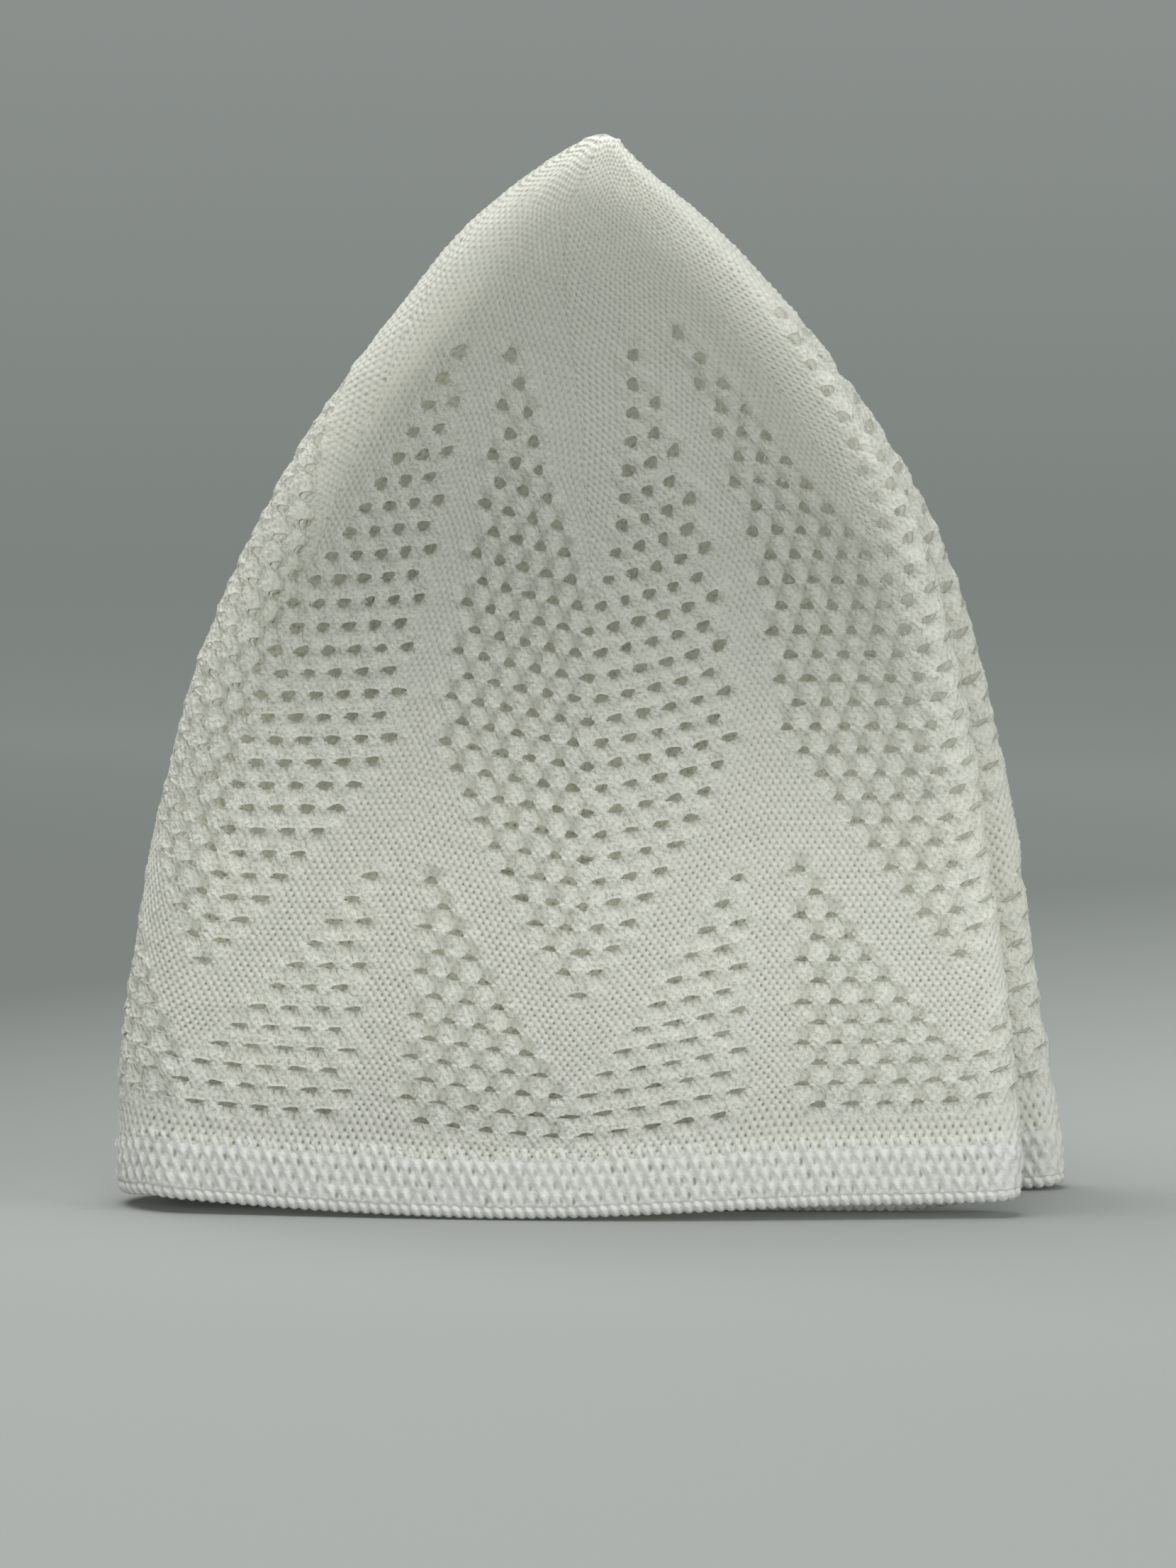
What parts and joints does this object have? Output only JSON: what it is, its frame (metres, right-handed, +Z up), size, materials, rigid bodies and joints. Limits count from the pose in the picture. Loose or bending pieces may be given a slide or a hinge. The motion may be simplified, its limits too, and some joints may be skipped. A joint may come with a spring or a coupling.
{
  "type": "prayer cap",
  "caption": "White knitted lace skull cap with a thick knobbly band, folded in quarters and standing on its rim.",
  "frame": {"origin": "on the ground, under the middle of the folded cap's box", "axes": "+Z up from the rim to the folded centre of the crown, +X from the single crease to the two open folds, +Y to the back leg"},
  "size_m": [0.141, 0.0422, 0.1604],
  "materials": {
    "lace_yarn": "knitted cotton lace",
    "band_yarn": "thick knobbly knitting",
    "edge_yarn": "chain stitched edge"
  },
  "bodies": {
    "root": {"crown": "lace_yarn", "rim_band": "band_yarn", "rim_edge": "edge_yarn"}
  },
  "joints": []
}
